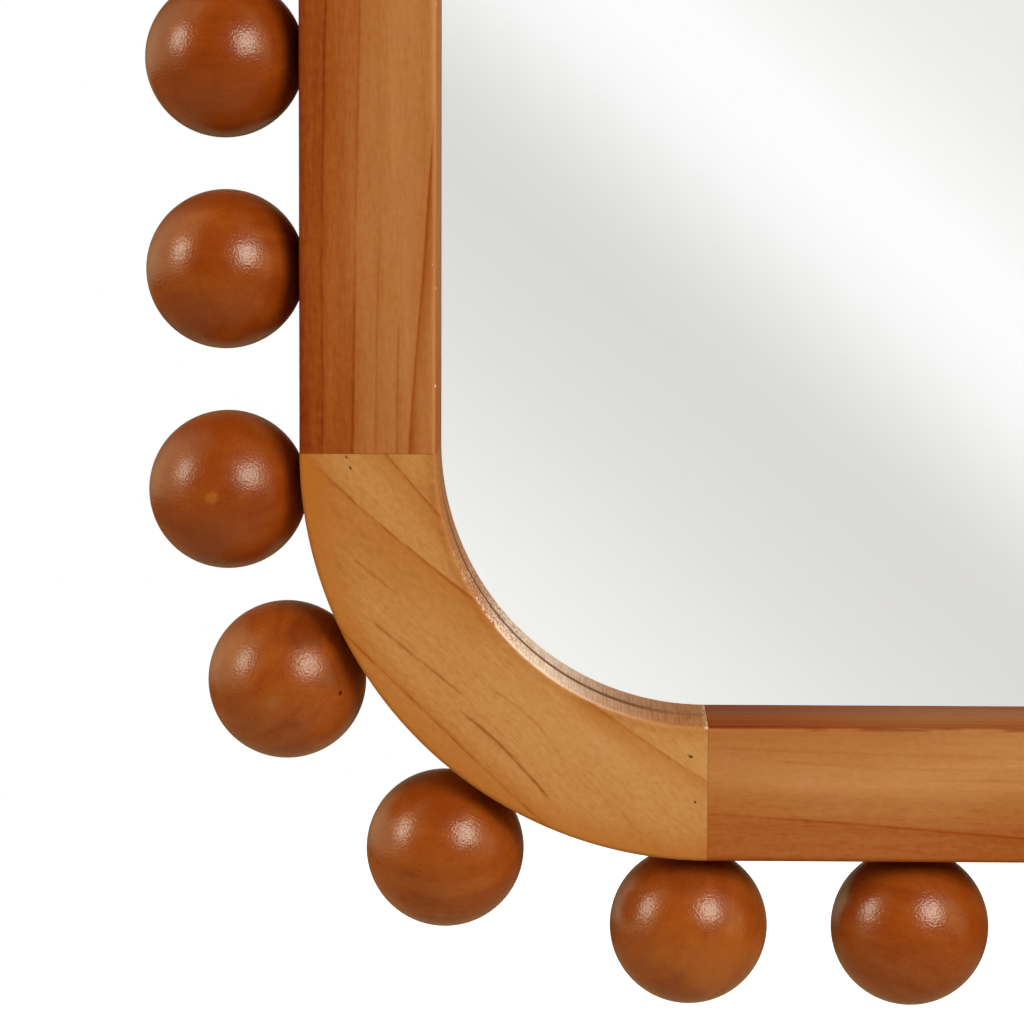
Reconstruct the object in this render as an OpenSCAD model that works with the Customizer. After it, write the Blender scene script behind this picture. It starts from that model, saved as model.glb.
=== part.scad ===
// Wall mirror with a rounded wooden frame, edged all the way round with turned wooden balls.
// The origin is the middle of the wall plane: +Z is up, +Y points at the wall, the glass faces -Y.

/* [Frame] */
// Width of the frame, without its balls
frame_w = 476; // [450:1:640]
// Height of the frame, without its balls
frame_h = 664; // [610:1:900]
// Width of the frame's face
face_w = 34; // [32:1:40]
// Thickness of the frame from front to back
frame_t = 36; // [32:1:40]
// Outer radius of the frame's corners
corner_r = 102; // [90:1:118]
// Radius of the eased edges
edge_r = 1.2; // [0.5:0.1:2.5]

/* [Balls] */
// Diameter of a ball
ball_d = 40; // [36:1:44]
// Depth of the flat on which a ball sits
ball_flat = 0.5; // [0.3:0.1:1]
// Number of balls along a stile, between the corner blocks
stile_balls = 8; // [6:1:8]
// Number of balls along a rail, between the corner blocks
rail_balls = 4; // [3:1:4]
// Distance from the end of a stile to its first ball
stile_ball_end = 45; // [38:1:55]
// Distance from the end of a rail to its first ball
rail_ball_end = 52; // [44:1:58]
// Angle of a corner's first ball, counted from the stile
corner_ball_1 = 5; // [4:1:8]
// Angle of a corner's second ball
corner_ball_2 = 29; // [27:1:32]
// Angle of a corner's third ball
corner_ball_3 = 57; // [53:1:60]
// Angle of a corner's last ball, beside the rail
corner_ball_4 = 88; // [84:1:88]

/* [Dowels] */
// Diameter of the dowel that holds a ball
ball_dowel_d = 6; // [5:0.5:6.5]
// Length of the dowel that holds a ball
ball_dowel_l = 24; // [18:1:24]
// Diameter of the dowels in the frame's joints
joint_dowel_d = 8; // [6:0.5:8]
// Length of the dowels in the frame's joints
joint_dowel_l = 40; // [24:1:44]
// Wood left between a joint's dowel and the frame's inner side
dowel_wall = 2; // [1.5:0.1:3]
// Wood left between the two dowels of a joint
dowel_web = 2.5; // [1.5:0.1:3]
// Glue gap round a dowel
glue_gap = 0.1; // [0.05:0.01:0.2]
// Room for glue at each end of a dowel
glue_end = 0.5; // [0.2:0.1:1]

/* [Glass and back] */
// Depth from the frame's face to the glass
recess_d = 20; // [17:0.5:21]
// Thickness of the mirror glass
glass_t = 3; // [2:0.5:4]
// Thickness of the back panel
panel_t = 3; // [2:0.5:3.5]
// Width of the rabbet behind the face
rabbet_w = 10; // [8:0.5:11]
// Gap between the glass or the panel and the rabbet's side
glass_gap = 1; // [0.5:0.1:2]
// Width of a glazing point
point_w = 8; // [5:0.5:12]
// Length of a glazing point
point_l = 15; // [12:0.5:16]
// Thickness of a glazing point
point_t = 0.8; // [0.5:0.1:1.2]
// Length of a glazing point that is driven into the wood
point_in = 7; // [5:0.5:8]
// Number of glazing points along a stile
stile_points = 4; // [3:1:6]
// Number of glazing points along a rail
rail_points = 2; // [2:1:4]

/* [Hangers] */
// Distance from the top of the frame to the pivots of the hanger rings
hanger_drop = 210; // [160:1:280]
// Width of a hanger's strap
strap_w = 11; // [9:0.5:11.5]
// Length of a hanger's strap below the ring's pivot
strap_l = 31; // [30:1:40]
// Thickness of a hanger's strap
strap_t = 1.2; // [1:0.1:1.5]
// Distance from the ring's pivot to the first screw
strap_screw_1 = 8.5; // [8:0.1:9.5]
// Distance from the ring's pivot to the second screw
strap_screw_2 = 24; // [23:0.5:25]
// Diameter of the ring's wire
wire_d = 3; // [2.4:0.1:3.2]
// Width of the opening of the ring
ring_in_w = 17; // [16:0.5:18]
// Distance from the ring's pivot to the middle of its far end
ring_drop = 16; // [15.5:0.1:17]
// Bend radius of the ring's upper corners
ring_bend_r = 3; // [2.5:0.1:3.5]
// Clearance between the wire and the eye that it turns in
pivot_gap = 0.05; // [0.03:0.01:0.09]
// Clearance between the ring, hanging down, and the strap behind it
ring_clear = 0.4; // [0.3:0.05:0.8]

/* [Screws] */
// Diameter of a screw's shank
screw_d = 3.5; // [3:0.1:4]
// Length of a screw under its head
screw_l = 13; // [10:0.5:13]
// Diameter of a screw's head
head_d = 7; // [6:0.1:7.2]
// Height of a screw's head
head_h = 2.2; // [1.8:0.1:2.6]
// Clearance round a screw, in the strap and in the wood
screw_gap = 0.1; // [0.05:0.05:0.2]
// Width of the slots of the cross in a screw's head
cross_w = 0.9; // [0.6:0.1:1.2]

/* [Bumpers] */
// Diameter of a bumper
bumper_d = 12; // [8:1:16]
// Room between the wall and whatever stands out furthest behind the frame
wall_gap = 0.65; // [0.5:0.05:3]

/* [Hidden] */
$fn = 72;
// More than any cut needs, so that it passes right through
past = 1;

ball_r = ball_d / 2;
// A ball's centre lies this far outside the frame's edge
ball_seat = ball_r - ball_flat;
corner_angles = [corner_ball_1, corner_ball_2, corner_ball_3, corner_ball_4];

stile_l = frame_h - 2 * corner_r;
rail_l = frame_w - 2 * corner_r;
corner_x = frame_w / 2 - corner_r;
corner_z = frame_h / 2 - corner_r;

wire_r = wire_d / 2;
// Height of the ring's pivot over the frame's back
eye_y = strap_t + ring_clear + wire_r;
eye_in_r = wire_r + pivot_gap;
eye_out_r = eye_in_r + strap_t;
// What stands out furthest behind the frame: a ball or a hanger's eye
behind = max(ball_r - frame_t / 2, eye_y + eye_out_r);
bumper_t = behind + wall_gap;

y_back = -bumper_t;
y_front = y_back - frame_t;
y_ball = y_back - frame_t / 2;
y_glass = y_front + recess_d;
y_panel = y_glass + glass_t;
y_point = y_panel + panel_t;

// Width of the frame's back face, outside the rabbet
land_w = face_w - rabbet_w;
// Outline of the glass and of the back panel
glass_w = frame_w - 2 * (land_w + glass_gap);
glass_h = frame_h - 2 * (land_w + glass_gap);
glass_r = corner_r - land_w - glass_gap;

ball_bore_l = ball_dowel_l / 2 + glue_end;
ball_bore_r = ball_dowel_d / 2 + glue_gap;
joint_bore_l = joint_dowel_l / 2 + glue_end;
joint_bore_r = joint_dowel_d / 2 + glue_gap;
// Distances from the frame's outer edge to the two dowels of a joint
dowel_u_2 = face_w - dowel_wall - joint_dowel_d / 2;
dowel_u_1 = dowel_u_2 - dowel_web - joint_dowel_d;
joint_dowels_u = [dowel_u_1, dowel_u_2];
dowel_depth = recess_d / 2;
dowel_chamfer = 0.6;

hanger_x = frame_w / 2 - land_w / 2;
hanger_z = frame_h / 2 - hanger_drop;
ring_half_w = (ring_in_w + wire_d) / 2;
ring_leg = ring_drop - ring_bend_r - ring_half_w;
strap_screws = [strap_screw_1, strap_screw_2];
// Gap that the rolled tail of a strap leaves over the strap itself
tail_gap = 0.5;
strap_end_r = 2.5;
screw_tip = 3;
cross_depth = 1.3;
head_edge = 0.8;
bumper_edge = 0.8;
bumper_r = corner_r - land_w / 2;

SIDES = ["left", "right"];
CORNERS = ["bottom_right", "bottom_left", "top_right", "top_left"];

// Places of repeated pieces
function spread(i, count, length, end) = -length / 2 + end + (i - 1) * (length - 2 * end) / (count - 1);
function stile_ball_z(i) = -spread(i, stile_balls, stile_l, stile_ball_end);
function rail_ball_x(i) = spread(i, rail_balls, rail_l, rail_ball_end);
function even(i, count, length) = -length / 2 + (i - 0.5) * length / count;

// Moves what is drawn for the right side to the side named
module on_side(s) {
    mirror([s == "left" ? 1 : 0, 0, 0]) children();
}

// Moves what is drawn for the bottom to the end named
module on_end(e) {
    mirror([0, 0, e == "top" ? 1 : 0]) children();
}

// Moves what is drawn round the centre of the bottom right corner's arc to the corner named
module on_corner(c) {
    left = c == "bottom_left" || c == "top_left";
    top = c == "top_left" || c == "top_right";
    on_side(left ? "left" : "right") on_end(top ? "top" : "bottom")
        translate([corner_x, 0, -corner_z]) children();
}

// Section of the frame: x runs inwards from the outer edge, y runs back from the face
module frame_section() {
    difference() {
        union() {
            translate([edge_r, 0]) square([face_w - 2 * edge_r, frame_t]);
            translate([0, edge_r]) square([face_w, frame_t - 2 * edge_r]);
            for (x = [edge_r, face_w - edge_r], y = [edge_r, frame_t - edge_r])
                translate([x, y]) circle(r = edge_r);
        }
        translate([land_w, recess_d]) square([rabbet_w + past, frame_t]);
    }
}

// A cylinder along +X from the origin
module rod_x(r, l) {
    rotate([0, 90, 0]) cylinder(r = r, h = l);
}

// Bore for a ball's dowel, from the frame's edge at x = 0 inwards along -X
module ball_bore() {
    translate([-ball_bore_l, 0, 0]) rod_x(ball_bore_r, ball_bore_l + past);
}

// Slot for a glazing point, in the frame of a bar whose outer edge is x = 0
module point_slot() {
    translate([-land_w, y_point, -point_w / 2]) cube([point_in, point_t, point_w]);
}

// A straight bar upright on the right, its outer edge on x = 0, with the bores of its joints
module bar(l) {
    difference() {
        translate([0, y_front, -l / 2]) linear_extrude(l) mirror([1, 0]) frame_section();
        for (end = [-1, 1], u = joint_dowels_u)
            translate([-u, y_front + dowel_depth, end * l / 2])
                cylinder(r = joint_bore_r, h = 2 * joint_bore_l, center = true);
    }
}

// The right stile with its bores, in place
module right_stile() {
    difference() {
        translate([frame_w / 2, 0, 0]) bar(stile_l);
        for (i = [1:stile_balls])
            translate([frame_w / 2, y_ball, stile_ball_z(i)]) ball_bore();
        for (i = [1:stile_points])
            translate([frame_w / 2, 0, even(i, stile_points, stile_l)]) point_slot();
        at_hanger() for (z = strap_screws)
            translate([0, -screw_l - screw_gap, -z]) rotate([-90, 0, 0])
                cylinder(r = screw_d / 2 + screw_gap, h = screw_l + screw_gap + past);
    }
}

module stile(s) {
    color("sienna") on_side(s) right_stile();
}

// Turns what is drawn for the right side to the bottom
module to_bottom() {
    translate([0, 0, -frame_h / 2]) rotate([0, 90, 0]) children();
}

// A rail with its bores, in place
module rail(e) {
    color("peru") on_end(e) to_bottom() difference() {
        bar(rail_l);
        for (i = [1:rail_balls])
            translate([0, y_ball, rail_ball_x(i)]) ball_bore();
        for (i = [1:rail_points])
            translate([0, 0, even(i, rail_points, rail_l)]) point_slot();
    }
}

// Turns what is drawn along +X to an angle below +X
module at_angle(a) {
    rotate([0, a, 0]) children();
}

// A corner block with the bores of its balls and of its two joints
module corner_block(c) {
    color("burlywood") on_corner(c) difference() {
        translate([0, y_front, 0]) rotate([-90, 0, 0]) rotate_extrude(angle = 90)
            translate([corner_r, 0]) mirror([1, 0]) frame_section();
        for (a = corner_angles)
            at_angle(a) translate([corner_r, y_ball, 0]) ball_bore();
        for (u = joint_dowels_u) {
            translate([corner_r - u, y_front + dowel_depth, -joint_bore_l])
                cylinder(r = joint_bore_r, h = joint_bore_l + past);
            translate([-past, y_front + dowel_depth, -(corner_r - u)])
                rod_x(joint_bore_r, joint_bore_l + past);
        }
    }
}

// A turned ball, its flat facing -X, the middle of the flat at the origin
module turned_ball() {
    color("chocolate") difference() {
        translate([ball_seat, 0, 0]) sphere(r = ball_r, $fn = 128);
        translate([-past - ball_flat, -ball_r, -ball_r]) cube([past + ball_flat, ball_d, ball_d]);
        translate([-past, 0, 0]) rod_x(ball_bore_r, ball_bore_l + past);
    }
}

// Place and direction of each ball's seat
module at_stile_ball(s, i) {
    on_side(s) translate([frame_w / 2, y_ball, stile_ball_z(i)]) children();
}
module at_rail_ball(e, i) {
    on_end(e) to_bottom() translate([0, y_ball, rail_ball_x(i)]) children();
}
module at_corner_ball(c, i) {
    on_corner(c) at_angle(corner_angles[i - 1]) translate([corner_r, y_ball, 0]) children();
}

// A dowel with chamfered ends, along X, its middle at the origin
module dowel(d, l) {
    rotate([0, 90, 0]) rotate_extrude() polygon([
        [0, -l / 2], [d / 2 - dowel_chamfer, -l / 2], [d / 2, -l / 2 + dowel_chamfer],
        [d / 2, l / 2 - dowel_chamfer], [d / 2 - dowel_chamfer, l / 2], [0, l / 2]
    ]);
}

// All dowels that hold the balls
module ball_dowels() {
    color("wheat") {
        for (s = SIDES, i = [1:stile_balls]) at_stile_ball(s, i) dowel(ball_dowel_d, ball_dowel_l);
        for (e = ["top", "bottom"], i = [1:rail_balls])
            at_rail_ball(e, i) dowel(ball_dowel_d, ball_dowel_l);
        for (c = CORNERS, i = [1:len(corner_angles)])
            at_corner_ball(c, i) dowel(ball_dowel_d, ball_dowel_l);
    }
}

// All dowels that join the corner blocks to the stiles and rails
module joint_dowels() {
    color("wheat") for (c = CORNERS, u = joint_dowels_u) on_corner(c) {
        translate([corner_r - u, y_front + dowel_depth, 0]) rotate([0, 90, 0])
            dowel(joint_dowel_d, joint_dowel_l);
        translate([0, y_front + dowel_depth, -(corner_r - u)]) dowel(joint_dowel_d, joint_dowel_l);
    }
}

// A plate with rounded corners that fills the rabbet, its front on y = 0
module rabbet_plate(t) {
    translate([0, t, 0]) rotate([90, 0, 0]) linear_extrude(t) {
        square([glass_w - 2 * glass_r, glass_h], center = true);
        square([glass_w, glass_h - 2 * glass_r], center = true);
        for (x = [-1, 1], z = [-1, 1])
            translate([x * (glass_w / 2 - glass_r), z * (glass_h / 2 - glass_r)]) circle(r = glass_r);
    }
}

module mirror_glass() {
    color("lightsteelblue") translate([0, y_glass, 0]) rabbet_plate(glass_t);
}

module back_panel() {
    color("tan") translate([0, y_panel, 0]) rabbet_plate(panel_t);
}

// A glazing point, in the frame of a bar whose outer edge is x = 0
module glazing_point() {
    nose = point_w / 4;
    translate([-land_w + point_in, y_point + point_t, 0]) rotate([90, 0, 0]) linear_extrude(point_t)
        polygon([
            [0, -point_w / 2], [0, point_w / 2], [nose - point_l, point_w / 2],
            [-point_l, point_w / 2 - nose], [-point_l, nose - point_w / 2], [nose - point_l, -point_w / 2]
        ]);
}

module glazing_points() {
    color("silver") {
        for (s = SIDES, i = [1:stile_points])
            on_side(s) translate([frame_w / 2, 0, even(i, stile_points, stile_l)]) glazing_point();
        for (e = ["top", "bottom"], i = [1:rail_points])
            on_end(e) to_bottom() translate([0, 0, even(i, rail_points, rail_l)]) glazing_point();
    }
}

// Moves what is drawn round a hanger's pivot, with the frame's back on y = 0, to the right hanger
module at_hanger() {
    translate([hanger_x, y_back, hanger_z]) children();
}

// A hanger's strap, rolled at its top into the eye that the ring turns in
module hanger_strap(s) {
    color("silver") on_side(s) at_hanger() difference() {
        rotate([90, 0, 90]) translate([0, 0, -strap_w / 2]) linear_extrude(strap_w) difference() {
            union() {
                translate([0, -strap_l]) square([strap_t, strap_l]);
                translate([eye_y, 0]) circle(r = eye_out_r);
            }
            translate([eye_y, 0]) circle(r = eye_in_r);
            translate([strap_t, -eye_out_r - past]) square([tail_gap, eye_out_r + past]);
        }
        for (z = strap_screws)
            translate([0, -past, -z]) rotate([-90, 0, 0])
                cylinder(r = screw_d / 2 + screw_gap, h = strap_t + 2 * past);
        for (x = [-1, 1])
            translate([x * strap_w / 2, 0, -strap_l]) strap_corner(x);
    }
}

// What rounds off one lower corner of a strap
module strap_corner(x) {
    translate([0, -past, 0]) difference() {
        translate([-strap_end_r, 0, -strap_end_r])
            cube([2 * strap_end_r, strap_t + 2 * past, 2 * strap_end_r]);
        translate([-x * strap_end_r, -past, strap_end_r]) rotate([-90, 0, 0])
            cylinder(r = strap_end_r, h = strap_t + 4 * past);
    }
}

// A hanger's ring: one closed loop of wire that hangs down from the eye
module hanger_ring(s) {
    bend_x = ring_half_w - ring_bend_r;
    color("gainsboro") on_side(s) at_hanger() translate([0, eye_y, 0]) {
        translate([-bend_x, 0, 0]) rod_x(wire_r, 2 * bend_x);
        for (x = [0, 1]) mirror([x, 0, 0]) {
            translate([bend_x, 0, -ring_bend_r]) wire_arc(ring_bend_r, -90, 90);
            translate([ring_half_w, 0, -ring_bend_r - ring_leg]) cylinder(r = wire_r, h = ring_leg);
        }
        translate([0, 0, -ring_bend_r - ring_leg]) wire_arc(ring_half_w, 0, 180);
    }
}

// A bend of the ring's wire about the Y axis, from an angle below +X on through a sweep
module wire_arc(r, from, sweep) {
    rotate([0, from, 0]) rotate([-90, 0, 0]) rotate_extrude(angle = sweep)
        translate([r, 0]) circle(r = wire_r);
}

// A round-headed screw, its head on y = 0 and its tip towards -Y
module screw() {
    r = screw_d / 2;
    rotate([-90, 0, 0]) difference() {
        rotate_extrude() polygon([
            [0, -screw_l], [r, -screw_l + screw_tip], [r, 0], [head_d / 2, 0],
            [head_d / 2, head_h - head_edge], [head_d / 2 - head_edge, head_h], [0, head_h]
        ]);
        for (a = [0, 90]) rotate([0, 0, a])
            translate([-head_d / 2 + head_edge, -cross_w / 2, head_h - cross_depth])
                cube([head_d - 2 * head_edge, cross_w, cross_depth + past]);
    }
}

module hanger_screws() {
    color("gainsboro") for (s = SIDES, z = strap_screws)
        on_side(s) at_hanger() translate([0, strap_t, -z]) screw();
}

// A bumper on the back of each corner block
module wall_bumpers() {
    color("dimgray") for (c = CORNERS) on_corner(c) at_angle(45) translate([bumper_r, y_back, 0])
        rotate([-90, 0, 0]) rotate_extrude() polygon([
            [0, 0], [bumper_d / 2, 0], [bumper_d / 2, bumper_t - bumper_edge],
            [bumper_d / 2 - bumper_edge, bumper_t], [0, bumper_t]
        ]);
}

stile("left");  // stile_left
stile("right");  // stile_right
rail("top");  // rail_top
rail("bottom");  // rail_bottom
for (c = CORNERS)
    corner_block(c);
for (s = SIDES, i = [1:stile_balls])
    at_stile_ball(s, i) turned_ball();
for (e = ["top", "bottom"], i = [1:rail_balls])
    at_rail_ball(e, i) turned_ball();
for (c = CORNERS, i = [1:len(corner_angles)])
    at_corner_ball(c, i) turned_ball();
joint_dowels();
ball_dowels();
mirror_glass();
back_panel();
glazing_points();
for (s = SIDES)
    hanger_strap(s);
for (s = SIDES)
    hanger_ring(s);
hanger_screws();
wall_bumpers();
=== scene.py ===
import math
import random

import bpy
from bpy.props import FloatProperty, FloatVectorProperty, PointerProperty
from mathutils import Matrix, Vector


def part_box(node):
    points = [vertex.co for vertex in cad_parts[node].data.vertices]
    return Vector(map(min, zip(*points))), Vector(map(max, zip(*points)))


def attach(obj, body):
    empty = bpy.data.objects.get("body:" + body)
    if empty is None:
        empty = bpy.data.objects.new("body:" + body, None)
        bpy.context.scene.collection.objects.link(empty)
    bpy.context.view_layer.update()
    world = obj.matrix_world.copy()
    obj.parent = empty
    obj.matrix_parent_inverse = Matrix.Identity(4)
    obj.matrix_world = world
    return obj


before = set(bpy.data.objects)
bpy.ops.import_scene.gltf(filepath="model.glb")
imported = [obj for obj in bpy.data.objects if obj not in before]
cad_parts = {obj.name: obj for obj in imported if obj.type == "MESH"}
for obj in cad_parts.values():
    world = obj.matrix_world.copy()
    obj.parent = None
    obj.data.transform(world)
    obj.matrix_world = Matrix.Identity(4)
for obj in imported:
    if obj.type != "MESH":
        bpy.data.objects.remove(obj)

bl_info = {
    "name": "Wall mirror edged with wooden balls",
    "version": (1, 0, 0),
    "blender": (4, 5, 0),
    "location": "3D View > Sidebar > Wall mirror",
    "description": "Finishes of a wall mirror's frame, balls, glass and hangers, and its studio",
    "category": "Object",
}

MM = 0.001
# Places that the finishes measure from, in metres, read from the loaded frame
STILE_LOW, STILE_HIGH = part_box("stile_left")
RAIL_LOW, RAIL_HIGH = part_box("rail_bottom")
GLASS_LOW, GLASS_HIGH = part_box("mirror_glass")
HALF_W = -STILE_LOW.x
HALF_H = -RAIL_LOW.z
CORNER_X = RAIL_HIGH.x
CORNER_Z = STILE_HIGH.z
CORNER_R = HALF_W - CORNER_X
FACE_W = STILE_HIGH.x - STILE_LOW.x
FACE_Y = STILE_LOW.y
BACK_Y = STILE_HIGH.y
BALL_Y = (FACE_Y + BACK_Y) / 2
CORNERS = ("bottom_left", "bottom_right", "top_left", "top_right")
# The share of a step along X or Z that lies along a grain at 45 degrees
DIAGONAL = math.sqrt(0.5)

# Where a bar's face and a ball's middle lie in the boards that the finishes draw
BOARD_FACE = -0.0365
BALL_MIDDLE = -0.0215
# How far a seed of 1 moves the pattern of a board and of a ball
BOARD_STEP = (1.7, 0.37, 0.71)
BALL_STEP = (0.31, 0.17, 0.23)
# Width of the shadow in a joint
SEAM_W = 0.2 * MM
# Roughness of the inner sides of bars and corner blocks, which have no satin finish
SAWN_ROUGHNESS = 0.85
# Height of the fibres on bars, corner blocks and dowels, and how strongly it shows on the first two
FIBRE_HEIGHT = 0.02 * MM
FIBRE_STRENGTH = 0.5

# Stain tone across a face, from its outer edge, 0, to its inner edge, 1. The stile's drop to a pale tone at
# its inner edge is a painted highlight on the arris.
STILE_TONE = (
    (0.0, 0.95), (0.05, 0.87), (0.12, 0.79), (0.2, 0.76), (0.35, 0.63), (0.5, 0.49),
    (0.65, 0.44), (0.75, 0.42), (0.86, 0.43), (0.93, 0.43), (0.96, 0.39), (1.0, 0.22),
)
RAIL_TONE = (
    (0.0, 0.85), (0.03, 0.7), (0.1, 0.61), (0.24, 0.57), (0.35, 0.51), (0.47, 0.41),
    (0.6, 0.26), (0.68, 0.25), (0.78, 0.33), (0.9, 0.37), (0.96, 0.4), (1.0, 0.34),
)
CORNER_TONE = (
    (0.0, 0.42), (0.05, 0.36), (0.16, 0.31), (0.33, 0.26), (0.5, 0.22), (0.9, 0.23),
    (0.95, 0.34), (1.0, 0.3),
)
# How bare a corner block's inner wall is, from the rail's end of it, 0, to the stile's end, 1
BARE = (
    (0.0, 0.0), (0.07, 0.03), (0.15, 0.14), (0.32, 0.64), (0.44, 1.0), (0.53, 1.0),
    (0.59, 0.66), (0.68, 0.12), (0.8, 0.02), (1.0, 0.0),
)

# Growth lines of the left stile, the bottom rail and the lower left corner block, in millimetres. Each has
# three spots on it, given along and across the grain, then the side that its shade lies on, the shade's
# width, depth and amber, the depth of the thin dark line itself, and how far it goes past its end spots.
STILE_LINES = (
    (((-230, -232.4), (-180, -232.3), (-110, -231.3)), -1, 5, 0.08, 0, 0.1, 200),
    (((-230, -224.9), (-180, -223.9), (-110, -222.9)), -1, 6, 0.1, 0, 0.13, 200),
    (((-226, -210.2), (-180, -206.9), (-146, -204.6)), 1, 4, 0.3, 0.1, 0.1, 24),
    (((-230, -213.7), (-220, -213.6), (-205, -213.3)), 1, 2, 0.05, 0, 0.12, 10),
    (((-230, -219.1), (-215, -218.9), (-200, -218.6)), 1, 2, 0.04, 0, 0.08, 30),
)
RAIL_LINES = (
    (((-136, -319.9), (-103, -321.9), (-57, -325.7)), -1, 7, 0.09, 0, 0.13, 120),
    (((-70, -311.2), (-60, -311.4), (-40, -312.0)), -1, 2, 0, 0, 0.1, 16),
    (((-112, -307.0), (-100, -307.6), (-60, -308.8)), -1, 2, 0, 0, 0.1, 12),
    (((-130, -303.6), (-100, -304.4), (-60, -305.6)), -1, 2, 0, 0, 0.07, 30),
)
CORNER_LINES = (
    (((0, -330.5), (25, -328.9), (52, -325.8)), -1, 10, 0.15, 0.5, 0.36, 14),
    (((12, -316.1), (20, -316.7), (29, -317.2)), -1, 5, 0.13, 0.3, 0.22, 9),
    (((91, -323.3), (105, -320.9), (122, -317.4)), -1, 5, 0.2, 0.55, 0.15, 9),
    (((34, -354.9), (62, -354.4), (105, -353.1)), 1, 2, 0.06, 0, 0.52, 12),
    (((39, -347.6), (54, -346.0), (64, -344.9)), 1, 2, 0.03, 0, 0.2, 5),
    (((72, -347.6), (85, -347.0), (97, -347.7)), 1, 2, 0.04, 0, 0.3, 5),
    (((24, -339.8), (29, -339.2), (34, -338.6)), 1, 2, 0, 0, 0.14, 3),
    (((73, -337.9), (82, -336.8), (91, -337.6)), 1, 2, 0, 0, 0.18, 5),
    (((33, -351.7), (37, -352.1), (41, -352.5)), 1, 2, 0, 0, 0.1, 3),
)
# Pits in the lower left corner block: x, z and size, in millimetres
PITS = ((-140.4, -305.4, 0.7), (-139.1, -317.0, 0.45), (-225.3, -233.4, 0.5), (-226.3, -230.9, 0.5))

# How much lighter the balls' woods are, in turn, as shares of the stain's range
LIFTS = (0.13, 0.0, 0.03, -0.03, 0.02)
# Marks on single balls: the way from the ball's middle and a size, in millimetres, a colour of BallLook and
# how strong it is. The dark marks on the top and on the frame's side of two balls are painted shadow of the
# frame.
MARKS = {
    "ball_bottom_left_1": (((-2.2, -19.9, -0.4), 1.9, "light", 0.75),),
    "ball_bottom_left_2": (
        ((14.2, -14.0, -1.6), 0.75, "pit", 0.95),
        ((-2.2, -19.6, -3.2), 2.0, "scuff", 0.5),
        ((3.1, -17.5, -9.3), 3.0, "dark", 0.3),
        ((9.5, -17.4, 2.0), 2.6, "dark", 0.25),
        # Painted shadow of the frame on the ball's top and on its side towards the frame
        ((3.5, -13.0, 13.5), 8.5, "dark", 0.65),
        ((14.0, -13.5, 3.5), 6.0, "dark", 0.5),
    ),
    "ball_bottom_left_4": (
        ((6.0, -16.5, -6.0), 16, "light", 0.45),
        # Painted shadow of the frame on the ball's top
        ((-1.0, -12.5, 15.5), 10.0, "dark", 0.4),
    ),
}
# How much rougher the lacquer of two balls is
DULLED = {"ball_bottom_left_1": 0.04, "ball_bottom_left_2": 0.03}

# Greys along the band of light that the mirror shows, from its start, 0, to its end, 1
BAND = (
    (0.09, 242), (0.28, 226), (0.37, 221), (0.43, 219), (0.48, 222), (0.53, 231),
    (0.61, 248), (0.67, 254), (0.73, 254), (0.86, 241), (0.95, 236),
)
# Where the band starts and ends on the pale wall, as slopes to the side, and how far it leans
BAND_START = -0.1921
BAND_END = 0.1274
BAND_LEAN = 1.2
# Greys under the first value have a hint of cream: their blue is lower by the second
CREAM_UNDER = 245
CREAM = 3

# The spot at the left stile's lower joint that the lights point at
AIM = Vector((-0.22, -0.026, -0.24))
# Width of the camera's sensor in millimetres
SENSOR_W = 36


def screen(red, green, blue):
    """A colour as a shader takes it, from its screen values out of 255."""

    def linear(value):
        value = value / 255
        if value < 0.04045:
            return value / 12.92
        return ((value + 0.055) / 1.055) ** 2.4

    return tuple(linear(value) for value in (red, green, blue))


def times(values, factor):
    """A colour or a vector, each of its numbers multiplied by a factor."""
    return tuple(value * factor for value in values)


def colour(name, description, *rgb):
    return FloatVectorProperty(
        name=name, description=description, subtype="COLOR", size=3,
        default=screen(*rgb), min=0, max=1,
    )


def length(name, description, metres, low=0.0, high=10.0):
    return FloatProperty(
        name=name, description=description, unit="LENGTH", subtype="DISTANCE",
        default=metres, min=low, max=high,
    )


def share(name, description, value, high=1.0):
    return FloatProperty(name=name, description=description, default=value, min=0, max=high)


def power(name, description, watts):
    return FloatProperty(name=name, description=description, unit="POWER", default=watts, min=0)


def turn(name, description, degrees):
    return FloatProperty(
        name=name, description=description, unit="ROTATION", subtype="ANGLE",
        default=math.radians(degrees),
    )


class WoodLook(bpy.types.PropertyGroup):
    """Stained and lacquered wood of the stiles, the rails and the corner blocks"""

    pale: colour("Pale wood", "Where the stain is thinnest", 200, 145, 89)
    light: colour("Light wood", "The lightest part of a bar's face", 184, 125, 71)
    warm: colour("Warm wood", "The middle of the stain's range", 168, 103, 50)
    deep: colour("Deep wood", "Thicker stain", 150, 73, 20)
    dark: colour("Dark wood", "The thickest stain, at the outer edge", 116, 36, 1)
    amber: colour("Amber wood", "The resin-rich side of a growth line", 176, 104, 35)
    corner_light: colour("Corner wood", "The corner blocks' lighter board", 188, 130, 71)
    raw: colour("Sawn wood", "Bare wood that shows on a corner block's inner wall", 255, 230, 206)
    shadow: colour("Shadow line", "The line where the sawn inner wall meets the glass", 116, 62, 12)
    gap: colour("Joint line", "The shadow in a joint and in a pit", 62, 26, 8)
    roughness: share("Finish roughness", "Roughness of the satin finish", 0.42)
    sheen: share("Finish gloss", "How much the satin finish reflects", 0.1)
    wall_tone: share("Inner side's tone", "Stain tone of the bars' sides that face the mirror", 0.52)


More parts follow.
